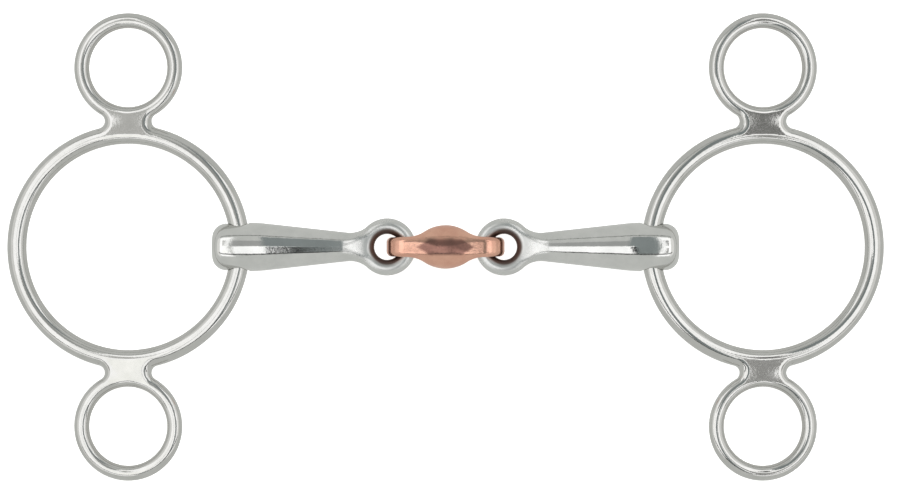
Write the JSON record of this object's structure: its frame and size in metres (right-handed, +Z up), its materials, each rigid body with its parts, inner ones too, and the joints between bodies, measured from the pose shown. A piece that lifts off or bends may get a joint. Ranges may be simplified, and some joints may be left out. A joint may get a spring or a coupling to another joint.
{
  "type": "snaffle bit",
  "caption": "Loose-ring jointed horse bit with tapered cannons, a copper lozenge link and cheeks of a large ring between small strap rings.",
  "frame": {"origin": "on the ground under the middle of the lozenge, with the bit lying flat and drawn out straight", "axes": "+X along the mouthpiece towards the right cheek, +Y towards the bridle rings, +Z up"},
  "size_m": [0.2788, 0.1484, 0.0155],
  "materials": {
    "copper": "polished copper, slightly toned from use",
    "cannon_steel": "mirror-polished stainless steel",
    "cheek_steel": "mirror-polished stainless steel"
  },
  "bodies": {
    "lozenge": {"copper_lozenge": "copper"},
    "left_cannon": {"left_cannon": "cannon_steel"},
    "right_cannon": {"right_cannon": "cannon_steel"},
    "left_main_ring": {"left_main_ring": "cheek_steel"},
    "left_strap_rings": {"left_bridle_ring": "cheek_steel", "left_rein_ring": "cheek_steel"},
    "right_main_ring": {"right_main_ring": "cheek_steel"},
    "right_strap_rings": {"right_bridle_ring": "cheek_steel", "right_rein_ring": "cheek_steel"}
  },
  "joints": [
    {"name": "left_cannon_fold", "type": "hinge", "parent": "lozenge", "child": "left_cannon", "pos_m": [-0.0119, 0, 0.00695], "axis": [0, 1, 0], "range_deg": [-85, 85]},
    {"name": "left_cheek_swivel", "type": "hinge", "parent": "left_cannon", "child": "left_main_ring", "pos_m": [-0.06547, 0, 0.00779], "axis": [0, -1, 0], "range_deg": [-165, 165]},
    {"name": "left_cheek_run_through", "type": "hinge", "parent": "left_main_ring", "child": "left_strap_rings", "pos_m": [-0.10071, 0, 0.00543], "axis": [-0.0667, 0, 0.9978], "range_deg": [-55, 55]},
    {"name": "right_cannon_fold", "type": "hinge", "parent": "lozenge", "child": "right_cannon", "pos_m": [0.0119, 0, 0.00695], "axis": [0, -1, 0], "range_deg": [-85, 85]},
    {"name": "right_cheek_swivel", "type": "hinge", "parent": "right_cannon", "child": "right_main_ring", "pos_m": [0.06547, 0, 0.00779], "axis": [0, 1, 0], "range_deg": [-165, 165]},
    {"name": "right_cheek_run_through", "type": "hinge", "parent": "right_main_ring", "child": "right_strap_rings", "pos_m": [0.10071, 0, 0.00543], "axis": [0.0667, 0, 0.9978], "range_deg": [-55, 55]}
  ]
}
